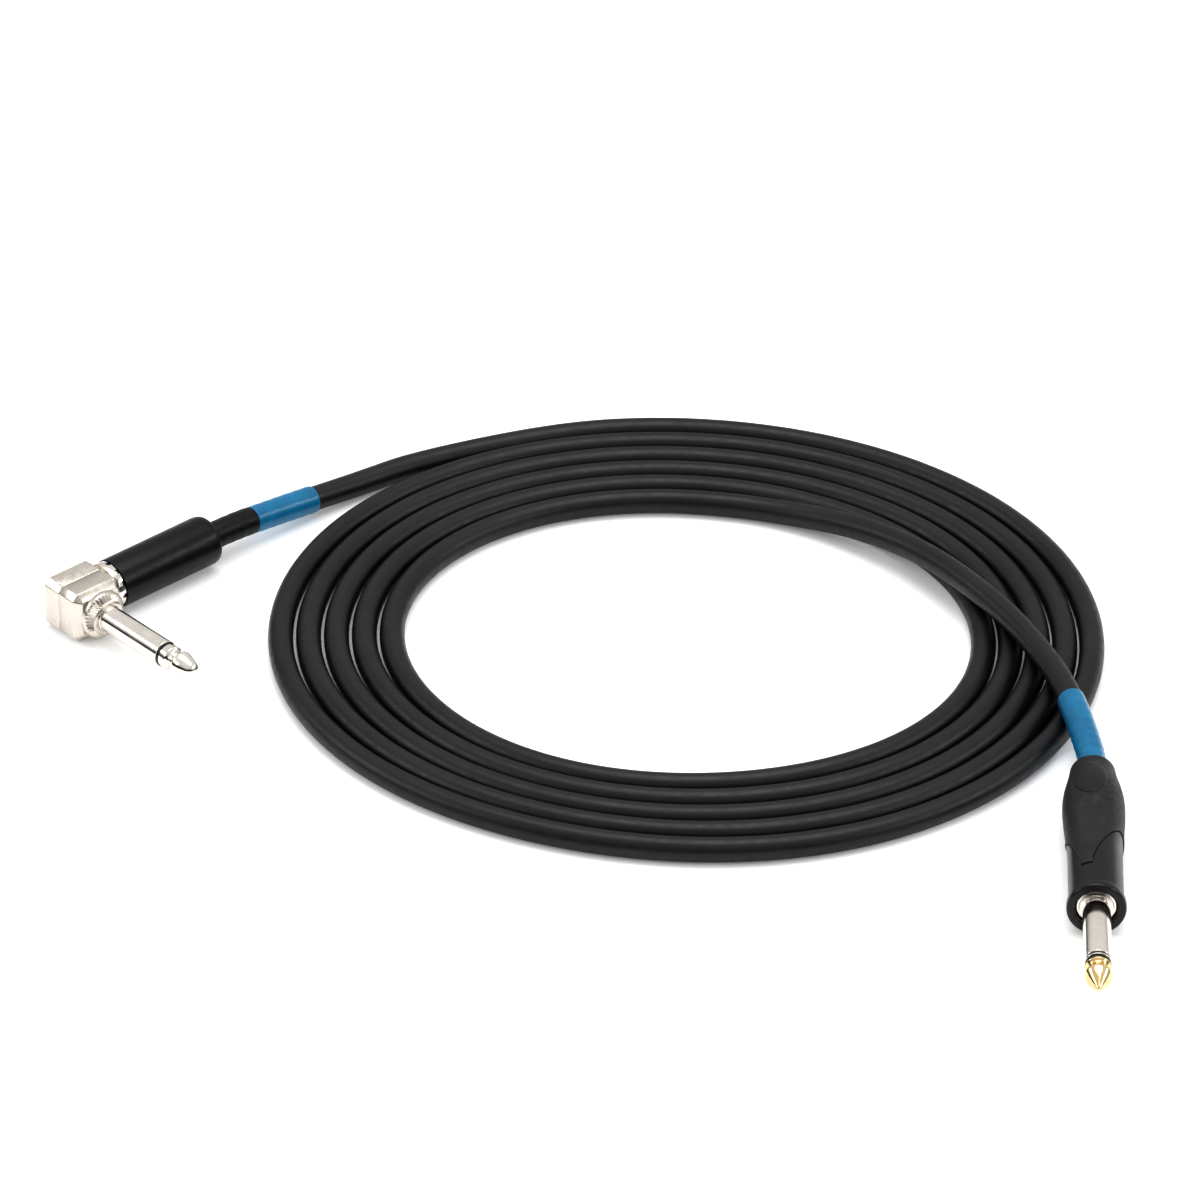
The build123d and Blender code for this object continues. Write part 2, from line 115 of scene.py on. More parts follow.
paper, tree, shader, where = material("paper_white")
fibres = noise(tree, where, 900.0)
fill(
    tree, shader, Base_Color=ramp(tree, fibres, (0.0, (0.93, 0.93, 0.93)), (1.0, (0.95, 0.95, 0.95))),
    Roughness=0.9, Specular_IOR_Level=0.1, Normal=bump(tree, fibres, 0.00002),
    Emission_Color=(1.0, 1.0, 1.0, 1.0), Emission_Strength=0.12,
)
FLOOR_HALF = 12.0
floor_mesh = bpy.data.meshes.new("floor")
corners = [(x * FLOOR_HALF, y * FLOOR_HALF, 0.0) for x, y in ((-1, -1), (1, -1), (1, 1), (-1, 1))]
floor_mesh.from_pydata(corners, [], [(0, 1, 2, 3)])
floor_mesh.materials.append(paper)
floor = bpy.data.objects.new("floor", floor_mesh)
bpy.context.scene.collection.objects.link(floor)

STUDIO_TILT = np.radians(12)
LAMPS_AIM = Vector((0.0, 0.05, 0.0))
world = bpy.data.worlds.new("studio")
bpy.context.scene.world = world
world.use_nodes = True
tree = world.node_tree
direction = add(tree, "TexCoord").outputs["Generated"]
tilted = add(tree, "VectorRotate", Vector=direction, Axis=(1.0, -0.35, 0.0), Angle=STUDIO_TILT)
height = add(tree, "SeparateXYZ", Vector=tilted.outputs["Vector"]).outputs["Z"]
studio = ramp(
    tree, height, (0.0, (0.02, 0.02, 0.02)), (0.11, (0.03, 0.03, 0.03)), (0.22, (0.62, 0.62, 0.63)),
    (0.5, (0.95, 0.95, 0.95)), (1.0, (1.0, 1.0, 1.0)),
)
fill(tree, tree.nodes["Background"], Color=studio, Strength=0.62)

for name, place, size, power in (
    ("overhead", (0.1, 0.25, 1.5), (1.3, 0.9), 9.0),
    ("left_strip", (-1.2, -0.1, 0.75), (1.3, 0.25), 4.0),
    ("right_strip", (1.25, -0.2, 0.7), (1.3, 0.25), 4.0),
):
    lamp = bpy.data.objects.new(name, bpy.data.lights.new(name, "AREA"))
    lamp.data.shape = "RECTANGLE"
    lamp.data.size, lamp.data.size_y = size
    lamp.data.energy = power
    lamp.location = place
    lamp.rotation_euler = (LAMPS_AIM - lamp.location).to_track_quat("-Z", "Y").to_euler()
    bpy.context.scene.collection.objects.link(lamp)

# ---- Cable ----
# A microphone-grade jack lead with a black PVC jacket, 5.8 mm over the jacket, extruded through a die that
# leaves faint lines along it. It lies in five loose flat turns, and its inner end crosses over them.
CABLE_D = 0.0058
SIDES = 28
BARREL_REACH = 0.03895
STRAIGHT_OUT = 0.007
joints = {joint["name"]: joint for joint in frame["joints"]}
leaving = joints["angle_cover_turn"]
crossing = np.array(leaving["pos_m"])
along_barrel = np.array(leaving["axis"]) / np.linalg.norm(leaving["axis"])
along_finger = np.array([along_barrel[1], -along_barrel[0], 0.0])
barrel_exit = crossing + BARREL_REACH * along_barrel
lead_in = [
    barrel_exit, barrel_exit + STRAIGHT_OUT * along_barrel, (-0.0754, 0.0989, 0.0054),
    (-0.0654, 0.1079, 0.0041), (-0.0540, 0.1170, 0.0031), (-0.0408, 0.1268, 0.0029),
]
lead_out = [
    (0.0455, 0.1070, 0.0031), (0.0598, 0.0997, 0.0050), (0.0722, 0.0902, 0.0066), (0.0822, 0.0790, 0.0080),
    (0.0908, 0.0666, 0.0088), (0.0986, 0.0546, 0.0088), (0.1049, 0.0418, 0.0088), (0.1100, 0.0290, 0.0089),
    (0.1133, 0.0164, 0.0088), (0.1158, 0.0049, 0.0074), (0.1169, -0.0016, 0.0070),
    (0.1169, -0.0064, 0.0070),
]
COIL_MIDDLE = (0.0228, 0.0531)
COIL_R, COIL_OVAL, COIL_SKEW = 0.0939, 0.0036, -0.0014
COIL_PITCH, COIL_SLACK = 0.00634, 0.001
COIL_FIRST_ANGLE = np.radians(124.4)
POINTS_A_TURN = 24
COIL_POINTS = 5 * POINTS_A_TURN + 3


def coil_point(index):
    """Control point of the coil. The turns run clockwise in a skewed oval that tightens by a pitch a turn.

    The near side has a three-lobed slackness that goes out as the turns tighten. Each radius is lengthened by
    what the spline cuts off its corners.
    """
    turns = index / POINTS_A_TURN
    angle = COIL_FIRST_ANGLE - 2 * np.pi * turns
    nearness = ((1 - np.sin(angle)) / 2) ** 2
    slack = COIL_SLACK * (1 - 0.4 * turns) * np.sin(3 * (angle + np.pi / 2)) * nearness
    radius = COIL_R + COIL_OVAL * np.cos(2 * angle) + COIL_SKEW * np.sin(2 * angle)
    radius = (radius - COIL_PITCH * turns + slack) / np.cos(np.pi / POINTS_A_TURN)
    return COIL_MIDDLE[0] + radius * np.cos(angle), COIL_MIDDLE[1] + radius * np.sin(angle), CABLE_D / 2


controls = [*lead_in, *[coil_point(index) for index in range(1, COIL_POINTS + 1)], *lead_out]
curve = bpy.data.curves.new("cable_route", "CURVE")
curve.dimensions = "3D"
curve.resolution_u = 12
spline = curve.splines.new("NURBS")
spline.points.add(len(controls) - 1)
for point, control in zip(spline.points, controls):
    point.co = (*control, 1.0)
spline.order_u = 3
spline.use_endpoint_u = True
route_object = bpy.data.objects.new("cable_route", curve)
bpy.context.scene.collection.objects.link(route_object)
line = bpy.data.meshes.new_from_object(route_object)
route = np.zeros(len(line.vertices) * 3)
line.vertices.foreach_get("co", route)
route = route.reshape(-1, 3)
bpy.data.objects.remove(route_object)
bpy.data.meshes.remove(line)


def distances(points):
    """Distance along a line of points, from its first, at each of them."""
    steps = np.linalg.norm(np.diff(points, axis=0), axis=1)
    return np.concatenate([[0.0], np.cumsum(steps)])


def surface(name, rings, joined=False, crease=35.0):
    """Closed surface over rings of points, an array (rings, points round, 3) in metres.

    Each ring joins the next by quads. The last joins the first, or else each end closes in a fan round its
    middle. UV is metres along the rings and metres round the widest one. Corners over that many degrees are
    creases.
    """
    count, sides = rings.shape[:2]
    rows, columns = np.meshgrid(np.arange(count if joined else count - 1), np.arange(sides), indexing="ij")
    row = rows.ravel()[:, None] + [0, 1, 1, 0]
    column = columns.ravel()[:, None] + [0, 0, 1, 1]
    faces = row % count * sides + column % sides
    along = distances(np.concatenate([rings[:, 0], rings[:1, 0]]))
    step = np.linalg.norm(np.diff(rings, axis=1), axis=2).sum(axis=1).max() / (sides - 1)
    uv = np.stack([along[row], column * step], axis=-1).reshape(-1, 2)
    points = rings.reshape(-1, 3)
    face_list = faces.tolist()
    if not joined:
        edge = np.arange(sides)
        beside = (edge + 1) % sides
        last = (count - 1) * sides
        pole = np.full(sides, len(points))
        points = np.concatenate([points, rings[[0, -1]].mean(axis=1)])
        fans = np.concatenate([
            np.stack([edge, beside, pole], axis=1), np.stack([last + beside, last + edge, pole + 1], axis=1),
        ])
        face_list += fans.tolist()
        fan_along = np.repeat([0.0, along[count - 1]], sides * 3)
        fan_round = np.tile(np.repeat(edge * step, 3), 2)
        uv = np.concatenate([uv, np.stack([fan_along, fan_round], axis=1)])
    mesh = bpy.data.meshes.new(name)
    mesh.from_pydata(points.tolist(), [], face_list)
    mesh.uv_layers.new(name="UVMap").data.foreach_set("uv", uv.astype(np.float32).ravel())
    mesh.polygons.foreach_set("use_smooth", np.ones(len(face_list), bool))
    corner = points[faces]
    volume = np.einsum("ij,ij->", corner[:, 0], np.cross(corner[:, 1], corner[:, 2]))
    volume += np.einsum("ij,ij->", corner[:, 0], np.cross(corner[:, 2], corner[:, 3]))
    if volume < 0:
        mesh.flip_normals()
    mesh.set_sharp_from_angle(angle=np.radians(crease))
    made = bpy.data.objects.new(name, mesh)
    bpy.context.scene.collection.objects.link(made)
    return made


def tube_rings(points, radii):
    """Circles round a line of points that is never upright, one at each point with its own radius."""
    tangent = np.gradient(points, axis=0)
    tangent /= np.linalg.norm(tangent, axis=1)[:, None]
    level = np.cross(tangent, (0.0, 0.0, 1.0))
    level /= np.linalg.norm(level, axis=1)[:, None]
    upward = np.cross(level, tangent)
    angle = np.linspace(0, 2 * np.pi, SIDES, endpoint=False)[None, :, None]
    circle = np.cos(angle) * level[:, None] + np.sin(angle) * upward[:, None]
    return points[:, None] + np.asarray(radii)[:, None, None] * circle


def fit(piece, finish, slot, body, *nodes):
    """Gives a piece its material and sets it on a body in place of its CAD nodes. The slot is not used."""
    piece.data.materials.append(finish)
    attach(piece, body)
    if nodes:
        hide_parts(*nodes)


cable = surface("cable", tube_rings(route, np.full(len(route), CABLE_D / 2)))

jacket, tree, shader, where = material("jacket_black")
die_lines = noise(tree, where, 1.0, stretch=(40.0, 2200.0, 1.0), on="UV")
pores = noise(tree, where, 4500.0)
handled = noise(tree, where, 70.0)
fill(
    tree, shader,
    Base_Color=ramp(tree, handled, (0.0, (0.005, 0.005, 0.005)), (1.0, (0.010, 0.0095, 0.009))),
    Specular_IOR_Level=0.5,
    Roughness=noise(tree, where, 400.0, 0.36, 0.48),
    Normal=bump(tree, pores, 0.000012, Normal=bump(tree, die_lines, 0.00001)),
)
fit(
    cable, jacket, "jacket_black", "cable_and_plugs",
    "cable_to_angle_plug", "cable_coil", "cable_to_straight_plug",
)

# ---- Heat-shrink sleeve and the two labels ----
# Each end of the lead has a label, a short length of glossy blue heat-shrink, left plain. Black heat-shrink
# covers the lead from inside the right-angle plug's barrel up to its label. All three are shrunk on hot.
WRAP_D = 0.0065
SLEEVE_L = 0.0135
LEFT_LABEL_L = 0.0185
RIGHT_LABEL_L = 0.027
INSIDE_BARREL = 0.007
INSIDE_BOOT = 0.0015
WRAP_STEP = 0.0006
THIN_END = 0.0003
UNEVEN = 0.00003
SNUG = 0.00002
route_length = distances(route)[-1]


def wrap_rings(start, end, along=route):
    """Rings of a shrunk tube on the line, from one distance along it to another.

    Its outside runs there and its inside runs back. Its ends thin out and the middle is a little uneven, as
    shrunk tube is.
    """
    reached = distances(along)
    ends = THIN_END * (1 - np.cos(np.linspace(0, np.pi / 2, 5)))
    inner = np.linspace(start + THIN_END, end - THIN_END, int((end - start) / WRAP_STEP))
    station = np.concatenate([start + ends[:-1], inner, (end - ends[:-1])[::-1]])
    points = np.stack([np.interp(station, reached, along[:, axis]) for axis in range(3)], axis=1)
    to_end = np.minimum(station - start, end - station).clip(0, THIN_END) / THIN_END
    wall = (WRAP_D - CABLE_D) / 2
    outer = CABLE_D / 2 + wall * (0.35 + 0.65 * np.sqrt(1 - (1 - to_end) ** 2))
    outer += UNEVEN * np.sin(station * 2100) * to_end
    inside = np.full(len(points), CABLE_D / 2 - SNUG)
    return np.concatenate([tube_rings(points, outer), tube_rings(points, inside)[::-1]])


from_inside = np.concatenate([[barrel_exit - INSIDE_BARREL * along_barrel], route])
sleeve = surface("heat_shrink", wrap_rings(0.0, INSIDE_BARREL + SLEEVE_L, from_inside), joined=True)
left_label = surface("left_label", wrap_rings(SLEEVE_L, SLEEVE_L + LEFT_LABEL_L), joined=True)
to_boot = np.concatenate([route, [route[-1] - (0.0, INSIDE_BOOT, 0.0)]])
right_label = surface(
    "right_label", wrap_rings(route_length - RIGHT_LABEL_L, route_length + INSIDE_BOOT, to_boot), joined=True
)

shrink, tree, shader, where = material("shrink_black")
dimples = noise(tree, where, 2600.0)
fill(
    tree, shader,
    Base_Color=ramp(tree, dimples, (0.0, (0.004, 0.004, 0.005)), (1.0, (0.008, 0.008, 0.008))),
    Specular_IOR_Level=0.32,
    Roughness=noise(tree, where, 500.0, 0.34, 0.48), Normal=bump(tree, dimples, 0.00002),
)
blue, tree, shader, where = material("label_blue")
creases = noise(tree, where, 420.0)
ink = noise(tree, where, 240.0)
fill(
    tree, shader,
    Base_Color=ramp(tree, ink, (0.0, (0.0, 0.135, 0.27)), (1.0, (0.0, 0.175, 0.33))),
    Roughness=noise(tree, where, 300.0, 0.31, 0.36), Coat_Weight=0.2,
    Coat_Roughness=0.15, Normal=bump(tree, creases, 0.000020),
)
fit(sleeve, shrink, "shrink_black", "cable_and_plugs", "heat_shrink_sleeve")
fit(left_label, blue, "label_blue", "cable_and_plugs", "angle_end_label")
fit(right_label, blue, "label_blue", "cable_and_plugs", "straight_end_label")

# ---- Straight plug: shell and boot ----
# The shell is a hard black moulding that screws over the plug's thread. A softer rubber boot is moulded onto
# it, with a tongue above and below that runs forward between the shell's two side arches.
rim = np.array(joints["straight_cover_turn"]["pos_m"])
straight_axes = rim, np.array([1.0, 0.0, 0.0]), np.array([0.0, 0.0, 1.0]), np.array([0.0, -1.0, 0.0])
SHELL_L = 55.0
RIM_R, SHELL_R, BELLY_R, BOOT_END_R = 6.7, 6.2, 7.0, 5.1
BORE_R = 4.65
MOUTH_R, MOUTH_FRONT = 3.8, -50.0
FLARE_FROM, FLARE_TO, RIM_ROUND = -2.9, -2.0, 0.7
SWELL_FROM, BELLY_AT = -20.0, -38.5
END_ROUND, END_ROUND_L = 1.2, 1.6
TONGUE_FRONT, ARCH_BACK, ARCH_HALF = -10.0, -26.3, 6.05
SADDLE_ROLL = np.radians(20)
PAD_ROLL = np.radians(8)
RIDGE_AT, RIDGE_T, RIDGE_HALF_L = -35.4, 0.2, 0.4
THUMB_DEPTH, THUMB_SLOPE_L = 1.0, 2.6
SEAM_R, SEAM_HALF, SEAM_WALL = 0.28, 0.08, 1.2
EDGE_PROUD, EDGE_PROUD_L = 0.2, 1.6


def placed(points, axes):
    """Points (across, up, station) in mm on a plug's axes, as places in metres."""
    origin, across, up, forward = axes
    return origin + 0.001 * (points[..., :1] * across + points[..., 1:2] * up + points[..., 2:] * forward)


def eased(share):
    """Share from 0 to 1 that starts and stops gently: three times its square less twice its cube."""
    return share ** 2 * (3 - 2 * share)


def housing_radius(station):
    """Radius of shell and boot in mm: a plain cylinder that swells to a belly and narrows to the cable."""
    swell = ((SWELL_FROM - station) / (SWELL_FROM - BELLY_AT)).clip(0, 1)
    taper = ((BELLY_AT - station) / (SHELL_L + BELLY_AT)).clip(0, 1)
    end = ((station + SHELL_L) / END_ROUND_L).clip(0, 1)
    radius = SHELL_R + (BELLY_R - SHELL_R) * eased(swell)
    radius -= (BELLY_R - BOOT_END_R) * (1 - np.cos(np.pi * taper ** 1.2)) / 2
    return radius - END_ROUND * (1 - np.sqrt(1 - (1 - end) ** 2))


def boot_radius(angle, station):
    """The boot's radius in mm. A beaded ridge crosses its top and bottom, with a flat thumb face ahead of it.

    The smaller of the round radius and the flat's is taken, with the corner between them eased.
    """
    radius = housing_radius(station)
    ahead = ((station - RIDGE_AT) / THUMB_SLOPE_L).clip(0, 1)
    fading = ((TONGUE_FRONT - 3 - station) / (TONGUE_FRONT - 3 - RIDGE_AT)).clip(0, 1)
    depth = THUMB_DEPTH * eased(ahead) * fading ** 0.7
    from_top = np.abs(np.cos(angle - np.pi / 2 - PAD_ROLL))
    across_top = ((from_top - 0.7) / 0.12).clip(0, 1)
    bead = RIDGE_T * np.exp(-(((station - RIDGE_AT) / RIDGE_HALF_L) ** 2)) * across_top
    flat = (radius - depth) / from_top.clip(0.2)
    return bead - np.logaddexp(-8 * radius, -8 * flat) / 8 + np.log(2) / 8


def seam_columns():
    """Angles round the plug, and the joint's station at each, from two half ovals and the tongues between."""
    sweep = np.linspace(-np.pi / 2, np.pi / 2, 41)
    station = TONGUE_FRONT - (TONGUE_FRONT - ARCH_BACK) * np.cos(sweep)
    arch = np.arcsin(ARCH_HALF * np.sin(sweep) / np.maximum(housing_radius(station), ARCH_HALF + 0.05))
    gap = np.pi - 2 * arch[-1]
    tongue = arch[-1] + gap * np.linspace(0, 1, 10)[1:-1]
    half = np.concatenate([arch, tongue])
    front = np.concatenate([station, np.full(len(tongue), TONGUE_FRONT)])
    return np.concatenate([half, half + np.pi]) + SADDLE_ROLL, np.tile(front, 2)


def polar(angle, radius, station):
    """Points from their angle round the plug's axis, radius and station in mm."""
    return np.stack(np.broadcast_arrays(radius * np.cos(angle), radius * np.sin(angle), station), axis=-1)


angle, seam = seam_columns()
quarter = np.linspace(0, np.pi / 2, 6)[:, None]
flare = np.linspace(0, 1, 8)[1:, None]
edge = seam + SEAM_HALF
edge_out = housing_radius(seam) - SEAM_R * (1 - np.sin(quarter))
back = edge + SEAM_R
outside = back + (FLARE_FROM - back) * np.linspace(0, 1, 40)[1:, None]
shell_rows = [
    polar(angle, BORE_R, seam + 0.1),
    polar(angle, housing_radius(seam) - SEAM_WALL, edge),
    *polar(angle, edge_out, edge + SEAM_R * (1 - np.cos(quarter))),
    *polar(angle, housing_radius(outside), outside),
    *polar(angle, SHELL_R + (RIM_R - SHELL_R) * eased(flare), FLARE_FROM + (FLARE_TO - FLARE_FROM) * flare),
    *polar(angle, RIM_R - RIM_ROUND * (1 - np.cos(quarter)), RIM_ROUND * (np.sin(quarter) - 1)),
    polar(angle, BORE_R + 0.35, 0.0), polar(angle, BORE_R + 0.05, -0.3), polar(angle, BORE_R, -1.0),
]
shell = surface("shell", placed(np.stack(shell_rows), straight_axes), joined=True)

edge = seam - SEAM_HALF
edge_out = boot_radius(angle, seam) + EDGE_PROUD - SEAM_R * (1 - np.sin(quarter))
front = edge - SEAM_R
outside = front + (-SHELL_L - front) * np.linspace(0, 1, 130)[1:, None]
proud = EDGE_PROUD * (1 - (front - outside) / EDGE_PROUD_L).clip(0, 1) ** 2
boot_rows = [
    polar(angle, MOUTH_R, MOUTH_FRONT), polar(angle, BORE_R, MOUTH_FRONT + 0.5),
    polar(angle, BORE_R, seam - 0.3),
    polar(angle, housing_radius(seam) - SEAM_WALL, edge),
    *polar(angle, edge_out, edge - SEAM_R * (1 - np.cos(quarter))),
    *polar(angle, boot_radius(angle, outside) + proud, outside),
    polar(angle, MOUTH_R + 0.02, -SHELL_L), polar(angle, MOUTH_R, -SHELL_L + 0.4),
]
boot = surface("boot", placed(np.stack(boot_rows), straight_axes), joined=True)

shell_black, tree, shader, where = material("shell_black")
spark = noise(tree, where, 3200.0)
rubbed = noise(tree, where, 130.0)
fill(
    tree, shader, Base_Color=ramp(tree, rubbed, (0.0, (0.004, 0.004, 0.004)), (1.0, (0.007, 0.0066, 0.0066))),
    Specular_IOR_Level=0.5,
    Roughness=noise(tree, where, 600.0, 0.29, 0.34), Normal=bump(tree, spark, 0.000008),
)
boot_black, tree, shader, where = material("boot_black")
grain = noise(tree, where, 2400.0)
dusty = noise(tree, where, 180.0)
fill(
    tree, shader, Base_Color=ramp(tree, dusty, (0.0, (0.011, 0.010, 0.0105)), (1.0, (0.019, 0.018, 0.0185))),
    Specular_IOR_Level=0.5,
    Roughness=noise(tree, where, 800.0, 0.46, 0.60), Normal=bump(tree, grain, 0.00004),
)
fit(shell, shell_black, "shell_black", "straight_cover", "straight_shell")
fit(boot, boot_black, "boot_black", "straight_cover", "straight_boot")

# ---- Straight plug: badge on the boot ----
# A thin oval pad of the same rubber stands 0.3 mm proud behind the ridge, moulded with the boot and left
# plain here.
EMBLEM_AT = -43.5
EMBLEM_HALF_W, EMBLEM_HALF_L, EMBLEM_T = 4.1, 7.0, 0.3
EMBLEM_SKIRT, EMBLEM_ROOT = 0.2, 0.5
FLAT_SHARE = 0.9
to_rim = np.sin(np.linspace(0, np.pi / 2, 8)[1:])
share = np.concatenate([np.linspace(0.04, FLAT_SHARE, 14), FLAT_SHARE + (1 - FLAT_SHARE) * to_rim])
around = np.linspace(0, 2 * np.pi, 72, endpoint=False)
top = np.stack(np.broadcast_arrays(share[:, None] * np.cos(around), share[:, None] * np.sin(around)))
stations = EMBLEM_AT + EMBLEM_HALF_L * top[1]
angles = np.pi / 2 + PAD_ROLL - EMBLEM_HALF_W * top[0] / housing_radius(stations)
dome = np.sqrt((1 - ((share - FLAT_SHARE) / (1 - FLAT_SHARE)).clip(0, 1) ** 2).clip(0))[:, None]
raised = polar(angles, housing_radius(stations) - EMBLEM_SKIRT + (EMBLEM_T + EMBLEM_SKIRT) * dome, stations)
sunk = polar(angles, housing_radius(stations) - EMBLEM_ROOT, stations)
emblem = surface("boot_badge", placed(np.concatenate([raised, sunk[::-1]]), straight_axes))
emblem_grey, tree, shader, where = material("emblem_grey")
grain = noise(tree, where, 3000.0)
fill(
    tree, shader, Base_Color=ramp(tree, grain, (0.0, (0.010, 0.009, 0.0095)), (1.0, (0.017, 0.016, 0.0165))),
    Specular_IOR_Level=0.36,
    Roughness=noise(tree, where, 900.0, 0.38, 0.5), Normal=bump(tree, grain, 0.00002),
)
fit(emblem, emblem_grey, "emblem_grey", "straight_cover", "straight_emblem")

# ---- Straight plug: sleeve, thread and tip ----
# The finger is a nickel-plated brass sleeve turned in one piece with the stepped boss, flange and thread.
# Black rings part it from the gold-plated tip, with a thin nickel ring between them.
FINGER_R, FINGER_L = 3.175, 30.5
SLEEVE_END, SLEEVE_BORE_R = 20.0, 1.9
THREAD_R, THREAD_PITCH, THREAD_DEPTH = 4.55, 0.8, 0.38
BOSS_R, SPIGOT_R = 3.9, 3.0
FLANGE_AT, FLANGE_BACK, THREAD_BACK, SPIGOT_BACK = -1.2, -2.0, -8.2, -12.0
INSULATOR_R, FRONT_RING_R = 3.0, 2.95
REAR_RING_L, SPACER_L, FRONT_RING_L = 0.7, 0.4, 0.8
ROD_R = 1.2


def rounded(outline):
    """Points of an outline (radius, station, rounding) with each corner drawn as a curve that starts and ends
    that far from it, or 0.45 of the way to the next corner if that is less."""
    corners = np.array([(*point, 0.0)[:3] for point in outline], float)
    share = np.linspace(0, 1, 6)[:, None]
    points = []
    for before, here, after in zip(np.roll(corners, 1, axis=0), corners, np.roll(corners, -1, axis=0)):
        if here[2] == 0:
            points.append(here[None, :2])
            continue
        arrive, leave = before[:2] - here[:2], after[:2] - here[:2]
        arrive *= min(here[2] / np.linalg.norm(arrive), 0.45)
        leave *= min(here[2] / np.linalg.norm(leave), 0.45)
        points.append(here[:2] + arrive * (1 - share) ** 2 + leave * share ** 2)
    return np.concatenate(points)


def turned(name, axes, outline, joined=True, sides=72, crease=35.0):
    """Surface turned round a plug's axis from an outline (radius, station, rounding) in mm."""
    profile = rounded(outline)
    angle = np.linspace(0, 2 * np.pi, sides, endpoint=False)
    return surface(name, placed(polar(angle, profile[:, :1], profile[:, 1:]), axes), joined, crease)


def threaded(name, axes, start, end, radius, pitch, bore_r):
    """Thread round a plug's axis: a round-crested helix whose crest touches the radius and that fades out at
    both ends, with a plain bore."""
    station = np.linspace(start, end, int((end - start) / pitch * 10))[:, None]
    angle = np.linspace(0, 2 * np.pi, 64, endpoint=False)
    fade = (np.minimum(station - start, end - station) / (0.8 * pitch)).clip(0, 1)
    groove = (1 - np.cos(2 * np.pi * (station / pitch - angle / (2 * np.pi)))) / 2
    outer = polar(angle, radius - 0.02 - THREAD_DEPTH * groove ** 1.5 * fade - 0.3 * (1 - fade) ** 2, station)
    inner = polar(angle, bore_r, station[[-1, 0]])
    return surface(name, placed(np.concatenate([outer, inner]), axes), joined=True, crease=80.0)


straight_sleeve = turned("straight_sleeve", straight_axes, [
    (SLEEVE_BORE_R, SPIGOT_BACK), (SPIGOT_R, SPIGOT_BACK, 0.2), (SPIGOT_R, THREAD_BACK, 0.1),
    (BOSS_R, THREAD_BACK, 0.1), (BOSS_R, FLANGE_BACK, 0.1), (THREAD_R, FLANGE_BACK, 0.1),
    (THREAD_R, FLANGE_AT, 0.25), (BOSS_R, FLANGE_AT, 0.08), (BOSS_R, -0.95, 0.06),
    (3.55, -0.85, 0.05), (3.55, -0.65, 0.05), (3.85, -0.55, 0.06), (3.85, -0.3, 0.12), (3.3, -0.3, 0.08),
    (3.0, -0.15, 0.05), (3.0, 0.35, 0.05), (FINGER_R, 0.5, 0.05), (FINGER_R, SLEEVE_END - 0.1, 0.1),
    (FINGER_R - 0.2, SLEEVE_END, 0.1), (SLEEVE_BORE_R, SLEEVE_END),
])
straight_thread = threaded(
    "straight_thread", straight_axes, THREAD_BACK, FLANGE_BACK + 0.1, THREAD_R, THREAD_PITCH, BOSS_R - 0.1
)

nickel, tree, shader, where = material("nickel_polished")
tool_marks = noise(tree, where, 1.0, stretch=(9000.0, 120.0, 1.0), on="UV")
smudges = noise(tree, where, 260.0)
fill(
    tree, shader, Metallic=1.0,
    Base_Color=ramp(tree, smudges, (0.0, (0.80, 0.75, 0.69)), (1.0, (0.87, 0.83, 0.77))),
    Roughness=noise(tree, where, 420.0, 0.09, 0.19), Normal=bump(tree, tool_marks, 0.0000012),
)
fit(straight_sleeve, nickel, "plug_nickel", "cable_and_plugs", "straight_finger_sleeve")
fit(straight_thread, nickel, "plug_nickel", "cable_and_plugs")


def tip_outline(base, collar_l, point, nose_r):
    """Outline of a plug's tip: a collar, a waist, and a bulb that runs out to a nose of that radius."""
    neck = base + collar_l
    return [
        (ROD_R, base), (2.9, base, 0.1), (2.95, neck - 0.1, 0.15),
        (2.3, neck + 0.45, 0.3), (2.3, neck + 1.15, 0.35),
        (2.85, neck + 2.1, 0.5), (3.14, neck + 2.7, 0.35), (3.14, neck + 3.3, 0.4),
        (2.0 + 0.45 * nose_r, point - 3.1, 1.5), (nose_r, point - 0.8, 0.7), (nose_r / 2, point - 0.1, 0.3),
        (0.03, point, 0.02),
    ]


def finger_rings(prefix, axes, end, spans):
    """Rings round a finger, one after another from its sleeve's end: (name, radius, length) for each."""
    made = []
    for name, radius, length in spans:
        outline = [(ROD_R, end), (radius, end, 0.12), (radius, end + length, 0.12), (ROD_R, end + length)]
        made.append(turned(f"{prefix}_{name}", axes, outline))
        end += length
    return made


rear_ring, spacer, front_ring = finger_rings(
    "straight", straight_axes, SLEEVE_END,
    (
        ("rear_insulator", INSULATOR_R, REAR_RING_L), ("spacer", FINGER_R, SPACER_L),
        ("front_insulator", FRONT_RING_R, FRONT_RING_L),
    ),
)
tip_base = SLEEVE_END + REAR_RING_L + SPACER_L + FRONT_RING_L
straight_tip = turned(
    "straight_tip", straight_axes, tip_outline(tip_base, 0.4, FINGER_L, 0.9), joined=False, crease=60.0
)

insulator, tree, shader, where = material("insulator_moulded")
flow = noise(tree, where, 1500.0)
fill(
    tree, shader, Base_Color=ramp(tree, flow, (0.0, (0.006, 0.006, 0.006)), (1.0, (0.011, 0.011, 0.011))),
    Roughness=noise(tree, where, 900.0, 0.24, 0.36), Normal=bump(tree, flow, 0.000008),
)
gold, tree, shader, where = material("gold_plate")
tool_marks = noise(tree, where, 1.0, stretch=(8000.0, 160.0, 1.0), on="UV")
wear = noise(tree, where, 340.0)
fill(
    tree, shader, Metallic=1.0,
    Base_Color=ramp(tree, wear, (0.0, (0.76, 0.57, 0.30)), (1.0, (0.85, 0.68, 0.40))),
    Roughness=noise(tree, where, 500.0, 0.10, 0.20), Normal=bump(tree, tool_marks, 0.0000012),
)
fit(rear_ring, insulator, "insulator_black", "cable_and_plugs", "straight_finger_insulator")
fit(spacer, nickel, "plug_nickel", "cable_and_plugs", "straight_finger_spacer")
